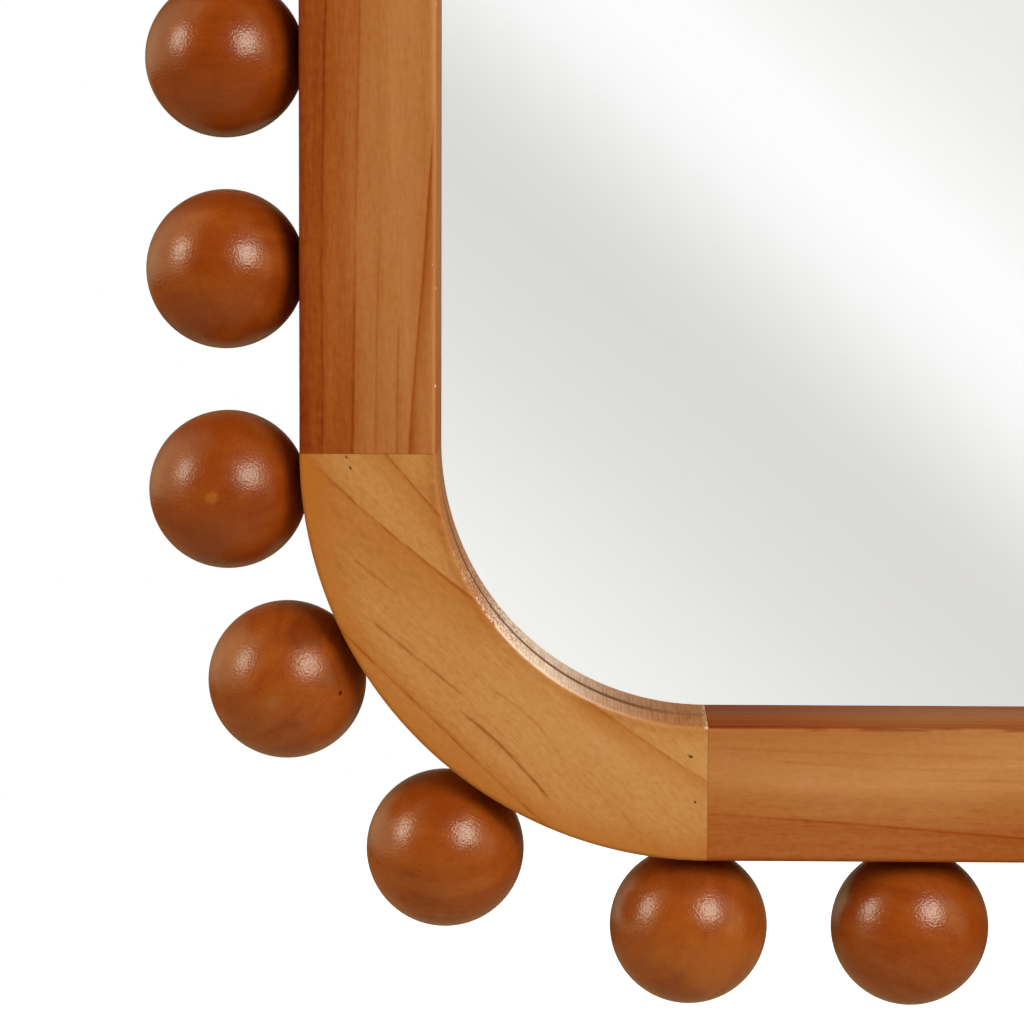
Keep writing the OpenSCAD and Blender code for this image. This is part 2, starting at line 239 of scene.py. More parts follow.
class BallLook(bpy.types.PropertyGroup):
    """Stained and lacquered balls"""

    light: colour("Light ball", "The lightest stain", 172, 92, 30)
    warm: colour("Warm ball", "The middle of the stain", 142, 60, 9)
    dark: colour("Dark ball", "The darkest stain", 106, 36, 3)
    scuff: colour("Scuff", "Where the lacquer is rubbed", 150, 92, 46)
    pit: colour("Pit", "The bottom of a pit in the wood", 48, 16, 4)
    glint: colour("Lacquer tint", "The amber lacquer's own reflection", 255, 254, 232)
    roughness: share("Lacquer roughness", "Roughness of the ball's lacquer", 0.235)
    peel: length("Orange peel", "Width of the ripples in the lacquer", 0.0006)
    peel_depth: length("Orange peel depth", "Depth of the ripples in the lacquer", 0.00008)


class MirrorLook(bpy.types.PropertyGroup):
    """Glass and its silver"""

    silver: colour("Silver", "What the silver reflects", 236, 235, 235)
    depth: length("Silvering depth", "How far behind the glass's face the silvering lies", 0.0001)
    coat: length("Silvering thickness", "Thickness of the silver and its backing paint", 0.00008)
    border: length("Silvering border", "Bare glass left round the silver", 0.0008)
    glass: colour("Glass", "The clear glass", 255, 255, 255)
    glass_tint: colour("Glass tint", "The faint green of the glass", 253, 255, 254)
    glass_ior: FloatProperty(
        name="Glass index", description="Refractive index of the glass", default=1.52
    )


class BackLook(bpy.types.PropertyGroup):
    """Back panel, steel and rubber"""

    board: colour("Fibreboard", "The back panel", 158, 121, 82)
    board_dark: colour("Dark fibres", "Darker fibres of the back panel", 118, 84, 52)
    zinc: colour("Zinc", "Plated steel", 214, 215, 216)
    zinc_dull: colour("Dull zinc", "Where the plating is dull", 176, 178, 180)
    metal: share("Zinc's gleam", "How much the plated steel mirrors; the rest is its dull bloom", 0.62)
    rubber: colour("Rubber", "The bumpers", 46, 45, 44)
    dowel: colour("Dowel", "Beech dowels", 205, 168, 120)


class StudioLook(bpy.types.PropertyGroup):
    """Camera, floor and light"""

    camera_x: length("Camera x", "The camera's place", -0.16573, -5, 5)
    camera_y: length("Camera y", "The camera's place", -1.12328, -5, 5)
    camera_z: length("Camera z", "The camera's place", -0.13625, -5, 5)
    camera_pitch: turn("Camera pitch", "Turn about X", 84.29)
    camera_roll: turn("Camera roll", "Turn about Y", -0.1611)
    camera_yaw: turn("Camera yaw", "Turn about Z", 1.0427)
    lens: FloatProperty(
        name="Lens", description="Focal length on a 36 mm sensor", unit="CAMERA", default=153.787
    )
    floor_drop: length("Floor", "Height of the mirror's middle above the floor", 1.5)
    floor_size: length("Floor size", "Width of the floor", 14.0, 1, 40)
    floor_shade: colour("Floor colour", "The floor", 232, 232, 231)
    backdrop: share("Backdrop", "Light of the surroundings behind the mirror", 0.07, 4)
    rim: share("Backdrop's middle", "Extra light of the backdrop straight behind the mirror", 0.17, 4)
    front: share("Front", "Light of the dark studio in front of the mirror", 0.03, 4)
    left_glow: share("Left screen", "Light of the wide soft screen on the left", 1.2, 4)
    right_glow: share("Right screen", "Light of the wide soft screen on the right", 1.0, 4)
    lean: share("Left screen's lean", "How much its far edge leans in, as a share of the height", 0.4, 4)
    screen_tint: colour("Screen colour", "Tint of the soft screens", 255, 238, 190)
    mirrored: share("Mirrored wall", "Light of the pale wall that the mirror shows", 1.247, 4)
    key_power: power("Key softbox", "Power of the softbox in front", 18.9)
    side_power: power("Side softbox", "Power of the softbox beside", 31)
    fill_power: power("Fill light", "Power of the soft light that no surface mirrors", 17.8)
    back_power: power("Back light", "Power of the soft light behind", 70)


class MirrorSettings(bpy.types.PropertyGroup):
    """All sizes and colours of the wall mirror's looks"""

    wood: PointerProperty(type=WoodLook)
    ball: PointerProperty(type=BallLook)
    mirror: PointerProperty(type=MirrorLook)
    back: PointerProperty(type=BackLook)
    studio: PointerProperty(type=StudioLook)


class Recipe:
    """The nodes of one finish, with a call for each kind that the finishes use."""

    def __init__(self, name=None, tree=None):
        """Starts a new material with that name, or else clears a tree that is there."""
        if name:
            self.material = bpy.data.materials.new(name)
            self.material.use_nodes = True
            tree = self.material.node_tree
        self.tree = tree
        tree.nodes.clear()

    def add(self, kind, inputs=(), out=0, **settings):
        """Adds a node and returns one of its outputs. An input is a value or another node's output."""
        node = self.tree.nodes.new("ShaderNode" + kind)
        for key, value in settings.items():
            setattr(node, key, value)
        for key, value in dict(inputs).items():
            if isinstance(value, bpy.types.NodeSocket):
                self.tree.links.new(value, node.inputs[key])
            else:
                node.inputs[key].default_value = value
        return node.outputs[out]

    def calc(self, operation, *values, clamp=False):
        return self.add("Math", enumerate(values), operation=operation, use_clamp=clamp)

    def weighed(self, base, *layers):
        """base with layers added to it, each of them an output and its weight."""
        for layer, weight in layers:
            base = self.calc("MULTIPLY_ADD", layer, weight, base)
        return base

    def where(self):
        """Object coordinates, which are the part's own frame."""
        return self.add("TexCoord", out="Object")

    def parts(self, vector):
        """The three numbers of a vector."""
        numbers = self.add("SeparateXYZ", {0: vector}).node.outputs
        return numbers[0], numbers[1], numbers[2]

    def join(self, x, y, z):
        return self.add("CombineXYZ", {0: x, 1: y, 2: z})

    def scaled(self, where, x, y, z):
        return self.add("VectorMath", {0: where, 1: (x, y, z)}, operation="MULTIPLY")

    def shifted(self, where, x, y, z):
        return self.add("VectorMath", {0: where, 1: (x, y, z)}, operation="ADD")

    def distance(self, where):
        """How far a place is from the origin."""
        return self.add("VectorMath", {0: where}, out="Value", operation="LENGTH")

    def noise(self, where, lumps, detail=2.0, roughness=0.5, distortion=0.0):
        """Noise from 0 to 1. lumps is their count to a metre: one number, or one for each axis."""
        if isinstance(lumps, tuple):
            where = self.scaled(where, *lumps)
            lumps = 1.0
        inputs = {
            "Vector": where,
            "Scale": lumps,
            "Detail": detail,
            "Roughness": roughness,
            "Distortion": distortion,
        }
        return self.add("TexNoise", inputs)

    def swing(self, where, lumps, **settings):
        """Noise that swings evenly to both sides of 0."""
        return self.calc("SUBTRACT", self.noise(where, lumps, **settings), 0.5)

    def span(self, value, start, end, low=0.0, high=1.0, kind="SMOOTHSTEP"):
        """low up to start and high from end on, with an even change between them."""
        return self.add(
            "MapRange", {0: value, 1: start, 2: end, 3: low, 4: high}, interpolation_type=kind, clamp=True
        )

    def mix(self, amount, first, second):
        """Mixes two colours, which are the Mix node's inputs 6 and 7 and its output 2."""

        def rgba(shade):
            return shade if isinstance(shade, bpy.types.NodeSocket) else (*tuple(shade)[:3], 1)

        inputs = {0: amount, 6: rgba(first), 7: rgba(second)}
        return self.add("Mix", inputs, out=2, data_type="RGBA", clamp_factor=True)

    def blend(self, amount, first, second):
        """Mixes two numbers, which are the Mix node's inputs 2 and 3."""
        return self.add("Mix", {0: amount, 2: first, 3: second})

    def ramp(self, value, stops):
        """A colour ramp. A stop is a place and a colour."""
        out = self.add("ValToRGB", {0: value})
        band = out.node.color_ramp
        while len(band.elements) < len(stops):
            band.elements.new(0.5)
        for element, (position, shade) in zip(band.elements, stops):
            element.position = position
            element.color = (*tuple(shade)[:3], 1)
        return out

    def curve(self, value, spots):
        """A smooth curve through spots."""
        out = self.add("FloatCurve", {"Value": value})
        points = out.node.mapping.curves[0].points
        while len(points) < len(spots):
            points.new(0.5, 0.5)
        for point, spot in zip(points, spots):
            point.location = spot
        out.node.mapping.update()
        return out

    def bump(self, height, distance, strength=1.0):
        return self.add("Bump", {"Height": height, "Distance": distance, "Strength": strength})

    def finish(self, **inputs):
        """Ends the recipe with one Principled shader. A socket's name has underscores for its spaces."""
        named = {name.replace("_", " "): value for name, value in inputs.items()}
        self.add_output(self.add("BsdfPrincipled", named))
        return self.material

    def add_output(self, shader, kind="OutputMaterial"):
        node = self.tree.nodes.new("ShaderNode" + kind)
        self.tree.links.new(shader, node.inputs["Surface"])


def dress(material, *names):
    """Gives CAD nodes a finish, in all their material slots."""
    for name in names:
        for material_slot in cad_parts[name].material_slots:
            material_slot.material = material


def random_lines(rng, places, reach, sway, shades, threads, widths, warmth, past):
    """Growth lines as in STILE_LINES, drawn at random, one at each place across the board.

    Its end spots lie as far as reach from its middle, and off its place by up to sway. Shades, threads and
    widths are the least and the most of their kind. A place's own draw comes just before its line's.
    """
    lines = []
    for place in places:
        start = place + rng.uniform(-sway, sway)
        end = place + rng.uniform(-sway, sway)
        shade = rng.uniform(*shades)
        thread = rng.uniform(*threads)
        side = rng.choice((-1, 1))
        width = rng.uniform(*widths)
        spots = ((-reach, start), (0, place), (reach, end))
        lines.append((spots, side, width, shade, warmth, thread, past))
    return lines


def arc_through(spots):
    """Bend, slope and start of the parabola through three spots."""
    (run_1, across_1), (run_2, across_2), (run_3, across_3) = spots
    first = (across_2 - across_1) / (run_2 - run_1)
    second = (across_3 - across_2) / (run_3 - run_2)
    bend = (second - first) / (run_3 - run_1)
    slope = first - bend * (run_1 + run_2)
    return bend, slope, across_1 - run_1 * (slope + bend * run_1)


def grain(r, board, across, run, lines, seed, coarse=False):
    """Stain tone from wood grain: growth lines, streaks, fibres and dashes.

    Returns the tone, how amber the wood is, and the fibres' height. Lines are given as in STILE_LINES.
    """
    # Coarse wood is more mottled, has deeper dashes and more broken growth lines
    mottled, dashed, unbroken = (0.36, 0.17, 0.4) if coarse else (0.19, 0.1, 0.75)
    board = r.shifted(board, *times(BOARD_STEP, seed))
    # Places in millimetres across the grain, swaying a little, and along it
    wavy = r.weighed(r.calc("MULTIPLY", across, 1 / MM), (r.swing(board, (16, 40, 40), detail=1.0), 1.6))
    along = r.calc("MULTIPLY", run, 1 / MM)
    streaks = r.swing(board, (14, 260, 260))
    fibres = r.swing(board, (160, 1900, 1900), roughness=0.6)
    cloud = r.swing(board, (22, 55, 55))
    mottle = r.swing(board, (520, 900, 900))
    dashes = r.span(r.noise(board, (210, 2300, 2300), detail=0.0), 0.7, 0.82)
    patchy = r.span(r.noise(board, (30, 90, 90), detail=1.0), 0.45, 0.6)
    tone = r.weighed(
        r.calc("MULTIPLY", fibres, 0.2),
        (streaks, 0.24),
        (cloud, 0.22),
        (mottle, mottled),
        (r.calc("MULTIPLY", dashes, patchy), dashed),
    )
    # Growth lines fade in long stretches, and their thin dark lines break in short ones
    faded = r.span(r.noise(board, (20, 60, 60), detail=1.0), 0.3, 0.62, 0.6, 1.0)
    broken = r.span(r.noise(board, (120, 700, 700), detail=1.0), 0.38, 0.56, unbroken, 1.15)
    amber = r.calc("MULTIPLY", cloud, 0.4)
    for spots, side, width, shade, warmth, thread, past in lines:
        bend, slope, start = arc_through(spots)
        line = r.calc("MULTIPLY_ADD", r.calc("MULTIPLY_ADD", along, bend, slope), along, start)
        off = r.calc("MULTIPLY", r.calc("SUBTRACT", wavy, line), side)
        low = spots[0][0]
        high = spots[2][0]
        from_middle = r.calc("ABSOLUTE", r.calc("SUBTRACT", along, (low + high) / 2))
        reach = (high - low) / 2 + past
        here = r.calc("MULTIPLY", r.span(from_middle, reach * 0.7, reach, 1, 0), faded)
        beside = r.calc("MULTIPLY", r.span(off, -0.5, 0.2), here)
        soft = r.calc("POWER", r.span(off, 0, width, 1, 0, kind="LINEAR"), 1.6)
        sharp = r.span(r.calc("ABSOLUTE", off), 0.1, 0.6, thread, 0)
        thin = r.calc("MULTIPLY", sharp, r.calc("MULTIPLY", here, broken))
        tone = r.weighed(r.calc("ADD", tone, thin), (r.calc("MULTIPLY", soft, beside), shade))
        if warmth:
            glow = r.calc("MULTIPLY", r.span(off, 0, width * 1.6, 1, 0), beside)
            amber = r.weighed(amber, (glow, warmth))
    return tone, amber, r.weighed(fibres, (dashes, -1.2))


def stain(r, tone, amber, wood, light):
    """The stain's colour for a tone from 0, pale, to 1, dark."""
    shades = (wood.pale, light, wood.warm, wood.deep, wood.dark)
    last = len(shades) - 1
    skin = r.ramp(tone, [(number / last, shade) for number, shade in enumerate(shades)])
    return r.mix(r.calc("MULTIPLY", amber, 1.0, clamp=True), skin, wood.amber)


def satin(r, wood, skin, inner, height):
    """Ends the recipe of a bar or a corner block: a satin finish, but dull where inner is 1."""
    return r.finish(
        Base_Color=skin,
        Roughness=r.span(inner, 0, 1, wood.roughness, SAWN_ROUGHNESS, kind="LINEAR"),
        Specular_IOR_Level=wood.sheen,
        Normal=r.bump(height, FIBRE_HEIGHT, FIBRE_STRENGTH),
    )


def inner_side_tone(r, wood, upright, board, y, from_end):
    """Stain tone of a bar's side that faces the mirror: thin stain, streaked along the bar."""
    wall = wood.wall_tone - (0.22 if upright else 0)
    depth = r.span(y, FACE_Y, GLASS_LOW.y, wall + 0.15, wall)
    depth = r.calc("ADD", depth, r.span(from_end, 0, 60 * MM, 0.18, 0))
    streak = r.noise(board, (10, 10, 900))
    return r.calc("ADD", depth, r.span(streak, 0.3, 0.7, 0.14, -0.14))


def arris_painted_highlight_and_chips(r, wood, skin, board, arris):
    """Arris beside the mirror, lightened by a painted highlight, with a few tiny chips."""
    # Painted highlight: the arris is mixed towards the pale stain where light catches it
    skin = r.mix(r.calc("MULTIPLY", arris, 0.22), skin, wood.pale)
    chips = r.span(r.noise(board, (420, 300, 300), detail=0.0), 0.72, 0.76)
    return r.mix(r.calc("MULTIPLY", chips, r.calc("MULTIPLY", arris, 0.7)), skin, wood.raw)


def stained_arris(r, wood, skin, board, arris, from_end):
    """Arris beside the mirror, with stain gathered in a thin ragged line."""
    gathered = r.span(r.noise(board, (90, 500, 500), detail=3.0), 0.42, 0.6, 0.05, 0.6)
    gathered = r.calc("MULTIPLY", gathered, r.span(from_end, 16 * MM, 27 * MM, 0.1, 1))
    return r.mix(r.calc("MULTIPLY", arris, gathered), skin, wood.dark)


def bar_finish(name, wood, upright, lines, seed):
    """Wood of a stile or a rail: fine straight grain, darker stain towards the outer edge."""
    r = Recipe(name)
    x, y, z = r.parts(r.where())
    run, across = (z, x) if upright else (x, z)
    half, end = (HALF_W, CORNER_Z) if upright else (HALF_H, CORNER_X)
    board = r.join(run, across, r.calc("ADD", y, BOARD_FACE - FACE_Y))
    inward = r.calc("SUBTRACT", half, r.calc("ABSOLUTE", across))
    from_end = r.calc("SUBTRACT", end, r.calc("ABSOLUTE", run))
    tone, amber, height = grain(r, board, across, run, lines, seed)
    face_tone = STILE_TONE if upright else RAIL_TONE
    tone = r.calc("ADD", tone, r.curve(r.calc("DIVIDE", inward, FACE_W), face_tone))
    # The stain is a little thicker near the joints
    tone = r.calc("ADD", tone, r.span(from_end, 0, 32 * MM, 0.03 if upright else 0.05, 0))
    # 0 on the face and 1 on the side that faces the mirror
    inner = r.span(inward, FACE_W - 0.7 * MM, FACE_W - 0.2 * MM)
    tone = r.blend(inner, tone, inner_side_tone(r, wood, upright, board, y, from_end))
    amber = r.calc("MULTIPLY", amber, r.calc("SUBTRACT", 1.0, inner))
    skin = stain(r, tone, amber, wood, wood.light)
    skin = r.mix(r.span(from_end, 0, SEAM_W, 0.5, 0), skin, wood.gap)
    # 1 on the narrow rounded edge between the face and that side
    arris = r.calc(
        "MULTIPLY",
        r.span(inward, FACE_W - 1.2 * MM, FACE_W - 0.7 * MM),
        r.span(y, FACE_Y + 0.6 * MM, FACE_Y + 1.3 * MM, 1, 0),
    )
    # The stile's arris gets a painted highlight and chips, the rail's a line of gathered stain
    if upright:
        skin = arris_painted_highlight_and_chips(r, wood, skin, board, arris)
    else:
        skin = stained_arris(r, wood, skin, board, arris, from_end)
    return satin(r, wood, skin, inner, height)


def pitted(r, wood, skin, where, run, across, sign, pits):
    """Small dark pits in a corner block, longer along the grain."""
    for spot_x, spot_z, size in pits:
        off_run = r.calc("SUBTRACT", run, (spot_x + spot_z * sign) * DIAGONAL * MM)
        off_across = r.calc("SUBTRACT", across, (spot_x - spot_z * sign) * DIAGONAL * MM)
        away = r.distance(r.join(r.calc("MULTIPLY", off_run, 0.55), off_across, 0))
        ragged = r.weighed(away, (r.swing(where, 1800.0), size * 1.2 * MM))
        skin = r.mix(r.span(ragged, size * 0.2 * MM, size * 0.8 * MM, 0.9, 0), skin, wood.gap)
    return skin


def sawn_wall(r, wood, teeth, where, slant, from_x, y):
    """A corner block's inner wall: bare where the cut runs with the grain, stained where it crosses."""
    reach = CORNER_R - FACE_W
    bare = r.curve(r.span(slant, -reach, reach, kind="LINEAR"), BARE)
    specks = r.noise(where, (1500, 320, 1500), detail=1.0)
    rough_cut = r.span(slant, -17 * MM, 13 * MM, 0, 1)
    wall = r.mix(r.span(teeth, 0.4, 0.58, 0.6, 1), wood.pale, wood.raw)
    fleck = r.calc("MULTIPLY", r.span(specks, 0.54, 0.62), r.calc("MULTIPLY_ADD", rough_cut, 0.85, 0.04))
    wall = r.mix(fleck, wall, wood.deep)
    dull = r.mix(r.span(teeth, 0.38, 0.62, 0.05, 0.5), wood.warm, wood.pale)
    bright = r.calc("MULTIPLY", r.span(specks, 0.36, 0.44, 1, 0), r.span(slant, 20 * MM, 50 * MM, 1, 0))
    dull = r.mix(r.calc("MULTIPLY", bright, r.calc("MULTIPLY", rough_cut, 0.5)), dull, wood.raw)
    wall = r.mix(bare, dull, wall)
    # White fibres at the joint with the rail, and a dark line before the glass
    torn = r.calc(
        "MULTIPLY",
        r.span(from_x, 0.3 * MM, 1.3 * MM, 1, 0),
        r.span(specks, 0.46, 0.56, 0, 0.6),
    )
    wall = r.mix(torn, wall, wood.raw)
    line = r.calc(
        "MULTIPLY",
        r.span(y, GLASS_LOW.y - 3.1 * MM, GLASS_LOW.y - 1.9 * MM, 0, 0.85),
        r.span(r.calc("ABSOLUTE", slant), reach * 0.6, reach, 1, 0),
    )
    return r.mix(line, wall, wood.shadow)


def corner_finish(name, wood, rising, lines, pits, seed):
    """Wood of a corner block: one board with its grain at 45 degrees, its inner wall left as sawn."""
    r = Recipe(name)
    where = r.where()
    x, y, z = r.parts(where)
    where = r.shifted(where, 0, BOARD_FACE - FACE_Y, 0)
    sign = 1 if rising else -1
    run = r.calc("MULTIPLY", r.calc("MULTIPLY_ADD", z, sign, x), DIAGONAL)
    across = r.calc("MULTIPLY", r.calc("MULTIPLY_ADD", z, -sign, x), DIAGONAL)
    board = r.join(run, across, r.calc("ADD", y, BOARD_FACE - FACE_Y))
    from_x = r.calc("SUBTRACT", r.calc("ABSOLUTE", x), CORNER_X)
    from_z = r.calc("SUBTRACT", r.calc("ABSOLUTE", z), CORNER_Z)
    radius = r.calc("SQRT", r.calc("MULTIPLY_ADD", from_x, from_x, r.calc("MULTIPLY", from_z, from_z)))
    inward = r.calc("SUBTRACT", CORNER_R, radius)
    tone, amber, height = grain(r, board, across, run, lines, seed, coarse=True)
    tone = r.calc("ADD", tone, r.curve(r.calc("DIVIDE", inward, FACE_W), CORNER_TONE))
    # The stain is thicker at the end that meets the stile, and more amber at the outer edge
    slant = r.calc("SUBTRACT", from_x, from_z)
    tone = r.calc("ADD", tone, r.span(slant, 0, 90 * MM, 0, 0.06))
    amber = r.calc("ADD", amber, r.span(inward, 0, 11 * MM, 0.75, 0))
    skin = stain(r, tone, amber, wood, wood.corner_light)
    skin = pitted(r, wood, skin, where, run, across, sign, pits)
    skin = r.mix(r.span(r.calc("MINIMUM", from_x, from_z), 0, SEAM_W, 0.45, 0), skin, wood.gap)
    # Marks of the saw's teeth, and how far a spot belongs to the inner wall, 0 or 1
    teeth = r.noise(where, (2700, 60, 2700), detail=1.0, roughness=0.6)
    inner = r.span(inward, FACE_W - 0.8 * MM, FACE_W - 0.2 * MM)
    skin = r.mix(inner, skin, sawn_wall(r, wood, teeth, where, slant, from_x, y))
    height = r.weighed(height, (r.calc("MULTIPLY", teeth, inner), 3.0))
    return satin(r, wood, skin, inner, height)


def ball_finish(name, ball, seed, turned, lift, marks, dulled):
    """Wood of a turned ball under lacquer with a slight orange peel.

    A mark is a place, a size in millimetres, a colour's name and a strength; some dark marks are painted
    shadow of the frame.
    """
    r = Recipe(name)
    place = r.where()
    where = r.shifted(place, 0, BALL_MIDDLE - BALL_Y, 0)
    board = r.add("Mapping", {"Vector": where, "Location": times(BALL_STEP, seed), "Rotation": turned})
    fine = r.swing(board, (90, 1300, 1300), roughness=0.6)
    bands = r.swing(board, (16, 170, 70), distortion=0.6)
    cloud = r.swing(board, 90.0, detail=4.0, roughness=0.6)
    which = r.swing(board, 9.0, detail=0.0)
    tone = r.weighed(0.5 - lift, (fine, 0.22), (bands, 0.5), (cloud, 0.5), (which, 0.5))
    skin = r.ramp(tone, [(0.0, ball.light), (0.5, ball.warm), (1.0, ball.dark)])
    # Marks: pits, a scuff, lighter and darker wood, and painted shadow of the frame
    for spot, size, shade, strength in marks:
        away = r.distance(r.shifted(place, *(-spot)))
        ragged = r.weighed(away, (cloud, size * 2 * MM))
        amount = r.span(ragged, size * 0.3 * MM, size * MM, strength, 0)
        skin = r.mix(amount, skin, getattr(ball, shade))
    specks = r.span(r.noise(where, 1100.0, detail=0.0), 0.76, 0.8)
    skin = r.mix(r.calc("MULTIPLY", specks, 0.3), skin, ball.dark)
    peel = r.noise(where, 1 / ball.peel, detail=1.0, distortion=0.3)
    turning = r.noise(where, (220, 220, 1300), detail=1.0)
    return r.finish(
        Base_Color=skin,
        Roughness=ball.roughness + dulled,
        Specular_Tint=(*ball.glint, 1),
        Normal=r.bump(r.weighed(peel, (turning, 0.25)), ball.peel_depth),
    )


def metal_finish(name, back, roughness):
    """Plated steel, a little dull and scuffed."""
    r = Recipe(name)
    where = r.where()
    spangle = r.noise(where, 600.0, detail=3.0)
    scuffs = r.noise(where, (5000, 400, 900))
    skin = r.mix(r.span(spangle, 0.35, 0.7), back.zinc, back.zinc_dull)
    return r.finish(
        Base_Color=skin,
        Metallic=back.metal,
        Roughness=r.span(spangle, 0.3, 0.7, roughness - 0.06, roughness + 0.1, kind="LINEAR"),
        Normal=r.bump(scuffs, 0.01 * MM, 0.3),
    )


def dowel_finish(back):
    """Beech with small flecks."""
    r = Recipe("dowel_beech")
    flecks = r.noise(r.where(), (900, 900, 900))
    skin = r.mix(r.span(flecks, 0.4, 0.7), back.dowel, times(back.dowel, 0.7))
    return r.finish(Base_Color=skin, Roughness=0.7, Normal=r.bump(flecks, FIBRE_HEIGHT))


def panel_finish(back):
    """Fibreboard, fine fibres with a few darker clouds."""
    r = Recipe("fibreboard")
    where = r.where()
    fibres = r.noise(where, (500, 500, 500), detail=4.0, roughness=0.7, distortion=1.2)
    cloud = r.noise(where, 14.0, detail=3.0)
    skin = r.mix(r.span(fibres, 0.35, 0.7), back.board, back.board_dark)
    skin = r.mix(r.span(cloud, 0.35, 0.7, 0.0, 0.3), skin, back.board_dark)
    return r.finish(Base_Color=skin, Roughness=0.85, Normal=r.bump(fibres, 0.05 * MM))


def rubber_finish(back):
    """Rubber with a little dust."""
    r = Recipe("bumper_rubber")
    dust = r.noise(r.where(), 700.0, detail=3.0)
    skin = r.mix(r.span(dust, 0.45, 0.75, 0.0, 0.35), back.rubber, times(back.rubber, 2.2))
    return r.finish(Base_Color=skin, Roughness=0.7, Normal=r.bump(dust, 0.03 * MM))


def glass_finish(look):
    """Clear glass with a faint uneven tint."""
    r = Recipe("clear_glass")
    streaks = r.noise(r.where(), (3, 3, 9), detail=1.0)
    skin = r.mix(r.span(streaks, 0.3, 0.7), look.glass, look.glass_tint)
    return r.finish(Base_Color=skin, Roughness=0.0, IOR=look.glass_ior, Transmission_Weight=1.0)


def silver_finish(look):
    """Silver with a faint haze."""
    r = Recipe("silvering")
    haze = r.noise(r.where(), 12.0)
    skin = r.mix(r.span(haze, 0.3, 0.7, 0.0, 0.02), look.silver, (0.8, 0.8, 0.8))
    return r.finish(Base_Color=skin, Metallic=1.0, Roughness=0.0)


class WALLMIRROR_OT_finish_bars(bpy.types.Operator):
    """Finishes the two stiles and the two rails"""

    bl_idname = "wall_mirror.finish_bars"
    bl_label = "Stiles and rails"

    def execute(self, context):
        wood = context.scene.wall_mirror.wood
        rng = random.Random(11)
        bars = (
            ("stile_left", True, STILE_LINES),
            ("stile_right", True, self.lines(rng, HALF_W - FACE_W, round(CORNER_Z / MM))),
            ("rail_bottom", False, RAIL_LINES),
            ("rail_top", False, self.lines(rng, HALF_H - FACE_W, round(CORNER_X / MM))),
        )
        for seed, (name, upright, lines) in enumerate(bars, start=1):
            dress(bar_finish(f"{name}_wood", wood, upright, lines, seed), name)
        return {"FINISHED"}

    def lines(self, rng, low, reach):
        """Four growth lines across a bar's face, which starts at low."""
        count = 4
        places = ((low + FACE_W * (k + rng.uniform(0.2, 0.8)) / count) / MM for k in range(count))
        return random_lines(
            rng, places, reach,
            sway=3, shades=(0.06, 0.2), threads=(0.04, 0.12), widths=(3, 7), warmth=0.1, past=60,
        )


class WALLMIRROR_OT_finish_corners(bpy.types.Operator):
    """Finishes the four corner blocks"""

    bl_idname = "wall_mirror.finish_corners"
    bl_label = "Corner blocks"

    def execute(self, context):
        wood = context.scene.wall_mirror.wood
        rng = random.Random(5)
        for number, name in enumerate(CORNERS):
            # The photo shows the lower left block only
            shown = name == "bottom_left"
            lines = CORNER_LINES if shown else self.lines(rng, -1 if "left" in name else 1)
            pits = PITS if shown else ()
            rising = name in ("bottom_right", "top_left")
            finish = corner_finish(f"corner_{name}_wood", wood, rising, lines, pits, 7 + number)
            dress(finish, f"corner_{name}")
        return {"FINISHED"}

    def lines(self, rng, side):
        """Five growth lines, one after the other from the square corner round the block inwards."""
        square = DIAGONAL * (HALF_W + HALF_H) / MM
        first, step, play = 20, 14, 6
        places = (side * (square - first - step * k - rng.uniform(0, play)) for k in range(5))
        return random_lines(
            rng, places, 60,
            sway=5, shades=(0.06, 0.22), threads=(0.05, 0.2), widths=(3, 9), warmth=0.4, past=120,
        )


class WALLMIRROR_OT_finish_balls(bpy.types.Operator):
    """Finishes the turned balls. Marked balls have wood of their own, and the others share a few woods"""

    bl_idname = "wall_mirror.finish_balls"
    bl_label = "Balls"

    def execute(self, context):
        ball = context.scene.wall_mirror.ball
        rng = random.Random(21)
        names = sorted(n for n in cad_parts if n.startswith("ball_") and n != "ball_dowels")
        shared = []
        for number, name in enumerate(names):
            if number < len(LIFTS) or name in MARKS:
                turned = [rng.uniform(-1.5, 1.5) for _ in range(3)]
                low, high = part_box(name)
                middle = (low + high) / 2
                marks = [(middle + Vector(off) * MM, *rest) for off, *rest in MARKS.get(name, ())]
                lift = LIFTS[number % len(LIFTS)]
                dulled = DULLED.get(name, 0.0)
                wood = ball_finish(f"{name}_wood", ball, 3 + number, turned, lift, marks, dulled)
                if name not in MARKS:
                    shared.append(wood)
            else:
                wood = shared[number % len(shared)]
            dress(wood, name)
        return {"FINISHED"}


class WALLMIRROR_OT_finish_dowels(bpy.types.Operator):
    """Finishes the dowels in the joints and behind the balls"""

    bl_idname = "wall_mirror.finish_dowels"
    bl_label = "Dowels"

    def execute(self, context):
        dress(dowel_finish(context.scene.wall_mirror.back), "joint_dowels", "ball_dowels")
        return {"FINISHED"}


